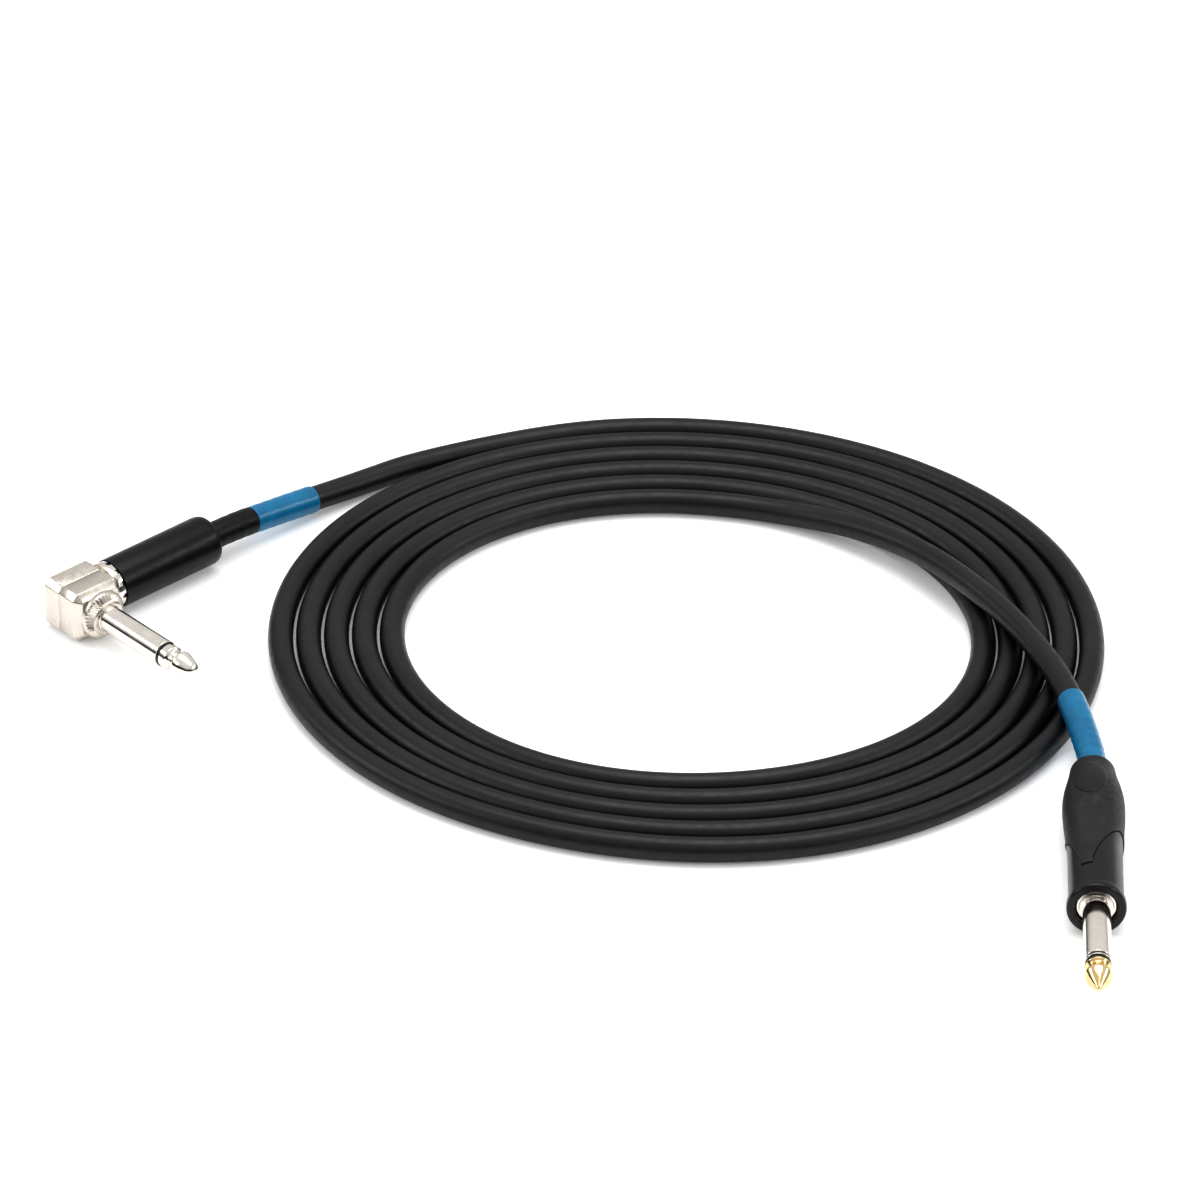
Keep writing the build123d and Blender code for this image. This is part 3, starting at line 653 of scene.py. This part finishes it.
fit(front_ring, insulator, "insulator_black", "cable_and_plugs", "straight_tip_insulator")
fit(straight_tip, gold, "tip_gold", "cable_and_plugs", "straight_tip_contact")

# ---- Right-angle plug: head ----
# The head is a die-cast block with every edge chamfered, satin nickel plated, in two halves that meet in a
# fine seam: the front half carries the collar and the thread for the barrel, and the rear one closes it.
finger_axes = crossing, along_barrel, np.array([0.0, 0.0, 1.0]), along_finger
barrel_axes = crossing, -along_finger, np.array([0.0, 0.0, 1.0]), along_barrel
HEAD_END, HEAD_SIDE, HEAD_HALF_H = 6.8, 7.2, 6.5
HEAD_BACK, HEAD_FRONT, HEAD_SEAM = -5.6, 7.6, 1.0
HEAD_CHAMFER, HEAD_WALL, HEAD_EDGE = 1.6, 1.2, 0.35
HEAD_CORE, HALF_GAP = 5.0, 0.03
BARREL_THREAD_R, BARREL_THREAD_BORE_R = 5.0, 3.6
BARREL_THREAD_FROM, BARREL_THREAD_END = 6.6, 14.0


def block_ring(station, inset):
    """Ring round the head at a station along the finger: a box's outline that far in, its corners cut."""
    cut = max(HEAD_CHAMFER - 0.8 * inset, 0.5)
    low, high, side = -HEAD_END + inset, HEAD_SIDE - inset, HEAD_HALF_H - inset
    outline = []
    for across, up in ((high, side), (low, side), (low, -side), (high, -side)):
        toward_x, toward_y = cut * np.sign(across), cut * np.sign(up)
        cuts = [(across, up - toward_y, HEAD_EDGE), (across - toward_x, up, HEAD_EDGE)]
        outline += cuts if across * up > 0 else cuts[::-1]
    return np.insert(rounded(outline), 2, station, axis=1)


def half_head(name, blank, seam):
    """Half of the head: its flat end, its chamfer and side, the seam's rounded lip and the cavity's wall."""
    toward = np.sign(seam - blank)
    skin = [(blank, HEAD_CORE), (blank, HEAD_CHAMFER + 0.3)]
    for turn in np.linspace(0, 1, 5):
        skin.append((blank + toward * 0.25 * turn ** 2, HEAD_CHAMFER + 0.25 - 0.25 * (2 * turn - turn ** 2)))
    for turn in np.linspace(0, 1, 5):
        skin.append((blank + toward * (HEAD_CHAMFER - 0.2 + 0.4 * turn), 0.2 * (1 - turn) ** 2))
    for turn in np.linspace(0, 1, 5)[1:]:
        skin.append((seam - toward * 0.22 * (1 - turn), 0.2 * turn ** 2))
    floor_at = blank + toward * HEAD_WALL
    skin += [(seam, HEAD_WALL), (floor_at, HEAD_WALL), (floor_at, HEAD_CORE)]
    rings = np.stack([block_ring(station, inset) for station, inset in skin])
    return surface(name, placed(rings, finger_axes), crease=50.0)


head_front = half_head("head_front", HEAD_FRONT, HEAD_SEAM + HALF_GAP)
head_rear = half_head("head_rear", HEAD_BACK, HEAD_SEAM - HALF_GAP)
angle_thread = threaded(
    "angle_thread", barrel_axes, BARREL_THREAD_FROM, BARREL_THREAD_END, BARREL_THREAD_R, THREAD_PITCH,
    BARREL_THREAD_BORE_R,
)

satin, tree, shader, where = material("nickel_satin")
cast = noise(tree, where, 900.0)
rubbed = noise(tree, where, 150.0)
fill(
    tree, shader, Metallic=1.0,
    Base_Color=ramp(tree, rubbed, (0.0, (0.64, 0.59, 0.53)), (1.0, (0.70, 0.66, 0.60))),
    Roughness=noise(tree, where, 600.0, 0.22, 0.34), Normal=bump(tree, cast, 0.000003),
)
fit(head_front, satin, "head_nickel", "cable_and_plugs", "angle_head")
fit(head_rear, satin, "head_nickel", "cable_and_plugs", "angle_rear_cover")
fit(angle_thread, satin, "head_nickel", "cable_and_plugs")

# ---- Right-angle plug: knurled collar ----
# A round nickel collar stands on the head's face. Behind its nose the cone is cut all round with fine
# straight serrations, and its band is plain.
COLLAR_R, NOSE_R, COLLAR_BORE_R = 5.9, 4.0, 3.3
SEAT = 11.0
SERRATIONS, SERRATION_DEPTH = 40, 0.34
profile = rounded([
    (COLLAR_BORE_R, HEAD_FRONT), (COLLAR_R - 0.1, HEAD_FRONT, 0.3), (COLLAR_R, 9.1, 0.5),
    (NOSE_R + 0.45, 10.6, 0.3), (NOSE_R, SEAT, 0.25), (COLLAR_BORE_R, SEAT),
])
stretch = np.linspace(0, 1, 14)[:, None]
cone = np.flatnonzero(np.diff(profile[:, 1]) > 0.8)[-1]
filled = profile[cone] + (profile[cone + 1] - profile[cone]) * stretch
profile = np.concatenate([profile[:cone], filled, profile[cone + 2:]])
angle = np.linspace(0, 2 * np.pi, SERRATIONS * 6, endpoint=False)
tooth = 2 * np.abs((angle * SERRATIONS / (2 * np.pi)) % 1 - 0.5)
on_cone = ((profile[:, 1:] - 9.0) / 0.5).clip(0, 1) * ((SEAT - 0.25 - profile[:, 1:]) / 0.3).clip(0, 1)
radius = profile[:, :1] - SERRATION_DEPTH * tooth * on_cone * (profile[:, :1] > COLLAR_BORE_R + 0.2)
collar = surface("collar", placed(polar(angle, radius, profile[:, 1:]), finger_axes), joined=True)
fit(collar, satin, "head_nickel", "cable_and_plugs", "angle_collar")

# ---- Right-angle plug: lock ring ----
# A bright nickel ring with square notches in its rim for a spanner. It locks the barrel on its thread.
RING_R, RING_START, RING_END = 5.9, 7.2, 9.5
RING_BORE_R = BARREL_THREAD_R + 0.02
NOTCHES, NOTCH_W = 12, 1.1
NOTCH_FLOOR = RING_END - 1.1
edges = np.array([-0.5, -0.46, 0.46, 0.5]) * NOTCH_W / RING_R
between = np.linspace(edges[-1], 2 * np.pi / NOTCHES + edges[0], 7)[1:-1]
angle = (np.concatenate([edges, between]) + 2 * np.pi * np.arange(NOTCHES)[:, None] / NOTCHES).ravel()
notched = np.tile(np.concatenate([[0, 1, 1, 0], between * 0]), NOTCHES)
rows = [
    polar(angle, ring_r - cut * notched, station) for ring_r, cut, station in (
        (RING_BORE_R, 0.0, RING_START), (RING_R - 0.2, 0.0, RING_START),
        (RING_R - 0.06, 0.0, RING_START + 0.06), (RING_R, 0.0, RING_START + 0.2),
        (RING_R, 0.0, NOTCH_FLOOR), (RING_R, 0.6, NOTCH_FLOOR + 0.04),
        (RING_R, 0.6, RING_END - 0.2), (RING_R - 0.06, 0.54, RING_END - 0.06), (RING_R - 0.2, 0.4, RING_END),
        (RING_BORE_R, 0.0, RING_END),
    )
]
lock_ring = surface("lock_ring", placed(np.stack(rows), barrel_axes), joined=True)
fit(lock_ring, nickel, "plug_nickel", "cable_and_plugs", "angle_lock_ring")

# ---- Right-angle plug: barrel ----
# A black satin-painted brass tube that screws on the head's thread, with a rounded rear end that the cable
# leaves by. The turning under the paint shows as faint rings.
BARREL_R, BARREL_START, BARREL_END = 6.0, 9.7, 1000 * BARREL_REACH
EXIT_R, END_WALL = 3.55, 1.5
LINED_R, LINED_FROM = 5.2, 14.5
FEMALE_THREAD_R = BARREL_THREAD_R + 0.05
barrel = turned("barrel", barrel_axes, [
    (FEMALE_THREAD_R, BARREL_START), (BARREL_R, BARREL_START, 0.25), (BARREL_R, BARREL_END, 2.2),
    (EXIT_R + 0.5, BARREL_END, 0.3), (EXIT_R, BARREL_END - 0.4, 0.2), (EXIT_R, BARREL_END - END_WALL),
    (LINED_R, BARREL_END - END_WALL), (LINED_R, LINED_FROM), (FEMALE_THREAD_R, LINED_FROM),
], sides=96)
paint, tree, shader, where = material("barrel_black")
rings_under = noise(tree, where, 1.0, stretch=(3200.0, 40.0, 1.0), on="UV")
orange_peel = noise(tree, where, 1100.0)
rubbed = noise(tree, where, 170.0)
fill(
    tree, shader, Base_Color=ramp(tree, rubbed, (0.0, (0.003, 0.003, 0.003)), (1.0, (0.006, 0.006, 0.006))),
    Specular_IOR_Level=0.36,
    Roughness=noise(tree, where, 500.0, 0.30, 0.40),
    Normal=bump(tree, orange_peel, 0.000012, Normal=bump(tree, rings_under, 0.000004)),
)
fit(barrel, paint, "barrel_black", "angle_cover", "angle_barrel")

# ---- Right-angle plug: sleeve and tip ----
# The same finger as on the straight plug, riveted through the head, with one black ring and a tip that has a
# longer collar and is nickel plated like its sleeve.
SHANK_R, GROOVE_R = 3.25, 3.05
RIVET_FLANGE_R, RIVET_FLANGE_BACK, RIVET_FLANGE_FRONT = 4.6, 5.2, 6.4
ring_at = SEAT + SLEEVE_END
angle_sleeve = turned("angle_sleeve", finger_axes, [
    (SLEEVE_BORE_R, RIVET_FLANGE_BACK), (RIVET_FLANGE_R, RIVET_FLANGE_BACK, 0.1),
    (RIVET_FLANGE_R, RIVET_FLANGE_FRONT, 0.1), (SHANK_R, RIVET_FLANGE_FRONT), (SHANK_R, SEAT + 0.1, 0.05),
    (GROOVE_R, SEAT + 0.2, 0.05), (GROOVE_R, SEAT + 0.5, 0.05), (FINGER_R, SEAT + 0.6, 0.05),
    (FINGER_R, ring_at - 0.1, 0.1), (FINGER_R - 0.2, ring_at, 0.1), (SLEEVE_BORE_R, ring_at),
])
angle_ring = finger_rings("angle", finger_axes, ring_at, (("insulator", INSULATOR_R, REAR_RING_L),))[0]
angle_tip = turned(
    "angle_tip", finger_axes, tip_outline(ring_at + REAR_RING_L, 2.1, SEAT + FINGER_L, 1.9),
    joined=False, crease=60.0,
)
fit(angle_sleeve, nickel, "plug_nickel", "cable_and_plugs", "angle_finger_sleeve")
fit(angle_ring, insulator, "insulator_black", "cable_and_plugs", "angle_finger_insulator")
fit(angle_tip, nickel, "plug_nickel", "cable_and_plugs", "angle_tip_contact")

# ---- Pieces inside the plugs ----
# Tinned lugs and clamps, moulded washers and chuck, clear liner tubes, and the prepared ends of the cable:
# black jacket, white insulation, copper conductor and the twisted tail of its screen. The CAD's shapes stay.
tinned, tree, shader, where = material("tinned_brass")
stamped = noise(tree, where, 700.0)
fill(
    tree, shader, Metallic=1.0,
    Base_Color=ramp(tree, stamped, (0.0, (0.62, 0.58, 0.50)), (1.0, (0.74, 0.71, 0.65))),
    Roughness=noise(tree, where, 400.0, 0.30, 0.48), Normal=bump(tree, stamped, 0.00002),
)
copper, tree, shader, where = material("copper_strands")
strands = noise(tree, where, 1.0, stretch=(3000.0, 260.0, 3000.0))
fill(
    tree, shader, Metallic=1.0,
    Base_Color=ramp(tree, strands, (0.0, (0.55, 0.25, 0.13)), (1.0, (0.78, 0.40, 0.24))),
    Roughness=noise(tree, where, 900.0, 0.28, 0.42), Normal=bump(tree, strands, 0.00008),
)
polythene, tree, shader, where = material("core_polythene")
milky = noise(tree, where, 350.0)
fill(
    tree, shader, Base_Color=ramp(tree, milky, (0.0, (0.74, 0.73, 0.70)), (1.0, (0.82, 0.81, 0.78))),
    Roughness=noise(tree, where, 700.0, 0.30, 0.45), Normal=bump(tree, milky, 0.00001),
)
liner, tree, shader, where = material("liner_tube")
drawn = noise(tree, where, 300.0)
fill(
    tree, shader, Base_Color=ramp(tree, drawn, (0.0, (0.80, 0.81, 0.80)), (1.0, (0.88, 0.89, 0.88))),
    Roughness=noise(tree, where, 600.0, 0.10, 0.22), Transmission_Weight=0.75,
    Normal=bump(tree, drawn, 0.00001),
)
for finish, nodes in (
    (tinned, ("straight_tip_lug", "straight_ground_lug", "angle_tip_lug", "angle_ground_clamp")),
    (copper, ("straight_conductor", "straight_shield_tail", "angle_conductor", "angle_shield_tail")),
    (polythene, ("straight_inner_core", "angle_inner_core")),
    (liner, ("straight_liner", "angle_liner")),
    (insulator, ("straight_rear_washer", "straight_chuck", "angle_rear_washer")),
    (jacket, ("straight_cable_end", "angle_cable_end")),
):
    for node in nodes:
        frame["nodes"][node].data.materials.clear()
        frame["nodes"][node].data.materials.append(finish)
